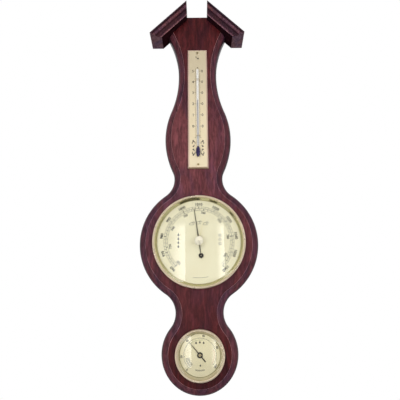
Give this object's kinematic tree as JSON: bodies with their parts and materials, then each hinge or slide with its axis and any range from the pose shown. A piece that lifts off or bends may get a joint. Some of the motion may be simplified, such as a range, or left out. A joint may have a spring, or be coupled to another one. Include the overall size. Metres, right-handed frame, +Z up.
{
  "type": "wall weather station",
  "caption": "Wooden banjo wall barometer with an open gable roof, a tube thermometer, an aneroid barometer with its movement, and a small hygrometer.",
  "frame": {"origin": "the nail's axis at the wall plane, at the top of the keyhole plate's slot, with the barometer's centre 330 mm below", "axes": "+Z up, -Y out of the wall towards the viewer, +X to the viewer's right; the wall is the plane y = 0"},
  "size_m": [0.167, 0.0406, 0.5695],
  "materials": {
    "wood": "reddish mahogany stain, satin lacquer",
    "polished_brass": "polished and lacquered",
    "satin_brass": "satin",
    "champagne_metal": "champagne anodised",
    "dial_metal": "champagne, matt printed",
    "clear_glass": "clear, polished",
    "blue_spirit": "dark blue liquid",
    "black_hand": "black, satin",
    "zinc_steel": "zinc plated",
    "spring_steel": "tempered, blued",
    "capsule_metal": "nickel silver, satin",
    "case_metal": "pressed, mill finish"
  },
  "bodies": {
    "case": {"case_board": "wood", "roof_moulding_left": "wood", "roof_moulding_right": "wood", "barometer_bezel": "polished_brass", "barometer_sloping_band": "polished_brass", "hygrometer_bezel": "polished_brass", "hygrometer_sloping_band": "polished_brass", "tube_clip_upper": "satin_brass", "tube_clip_lower": "satin_brass", "plate_pin_upper": "satin_brass", "plate_pin_lower": "satin_brass", "movement_base": "satin_brass", "dial_pillar_1": "satin_brass", "dial_pillar_2": "satin_brass", "dial_pillar_3": "satin_brass", "rocker_bracket": "satin_brass", "movement_plate": "satin_brass", "plate_post_1": "satin_brass", "plate_post_2": "satin_brass", "plate_post_3": "satin_brass", "plate_post_4": "satin_brass", "movement_bridge": "satin_brass", "hygrometer_yoke": "satin_brass", "thermometer_plate": "champagne_metal", "barometer_dial": "dial_metal", "hygrometer_dial": "dial_metal", "barometer_glass": "clear_glass", "hygrometer_glass": "clear_glass", "thermometer_tube": "clear_glass", "thermometer_spirit": "blue_spirit", "hanger_plate": "zinc_steel", "hanger_screw_left": "zinc_steel", "hanger_screw_right": "zinc_steel", "movement_screw_upper": "zinc_steel", "movement_screw_lower": "zinc_steel", "bridge_screw": "zinc_steel", "aneroid_capsule": "capsule_metal", "barometer_case": "case_metal", "hygrometer_case": "case_metal"},
    "pressure_hand": {"pointer_arbor": "spring_steel", "pressure_pointer": "black_hand", "hairspring": "satin_brass"},
    "sector": {"toothed_sector": "satin_brass", "sector_staff": "spring_steel"},
    "rocker": {"rocking_shaft": "spring_steel"},
    "spring": {"capsule_spring": "spring_steel", "capsule_post": "satin_brass", "main_lever": "spring_steel"},
    "set_hand": {"set_hand": "polished_brass", "set_knob": "polished_brass", "set_washer": "satin_brass"},
    "adjuster": {"adjusting_screw": "satin_brass"},
    "humidity_hand": {"hygrometer_arbor": "polished_brass", "humidity_pointer": "black_hand", "humidity_coil": "capsule_metal"}
  },
  "joints": [
    {"name": "pressure_pointer_turn", "type": "hinge", "parent": "case", "child": "pressure_hand", "pos_m": [0, -0.0155, -0.33], "axis": [0, 1, 0], "range_deg": [-128, 144], "deforming": ["hairspring"]},
    {"name": "sector_turn", "type": "hinge", "parent": "case", "child": "sector", "pos_m": [0.0294, -0.0137, -0.33], "axis": [0, 1, 0], "range_deg": [-24.1, 21.4]},
    {"name": "rocking_shaft_turn", "type": "hinge", "parent": "case", "child": "rocker", "pos_m": [0.0353, -0.007, -0.33], "axis": [1, 0, 0], "range_deg": [-21.3, 18.95]},
    {"name": "capsule_spring_flex", "type": "hinge", "parent": "case", "child": "spring", "pos_m": [-0.027, -0.0069, -0.33], "axis": [0, 0, 1], "range_deg": [-0.56, 0.64]},
    {"name": "set_hand_turn", "type": "hinge", "parent": "case", "child": "set_hand", "pos_m": [0, -0.0228, -0.33], "axis": [0, 1, 0], "continuous": true},
    {"name": "adjusting_screw_turn", "type": "hinge", "parent": "case", "child": "adjuster", "pos_m": [-0.024, -0.0024, -0.33], "axis": [0, 1, 0], "range_deg": [-360, 360]},
    {"name": "humidity_pointer_turn", "type": "hinge", "parent": "case", "child": "humidity_hand", "pos_m": [0, -0.0127, -0.4782], "axis": [0, 1, 0], "range_deg": [-95, 165], "deforming": ["humidity_coil"]}
  ],
  "couplings": [
    {"joint": "sector_turn", "follows": "pressure_pointer_turn", "ratio": -0.16667},
    {"joint": "rocking_shaft_turn", "follows": "pressure_pointer_turn", "ratio": -0.1477},
    {"joint": "capsule_spring_flex", "follows": "pressure_pointer_turn", "ratio": 0.004387}
  ]
}
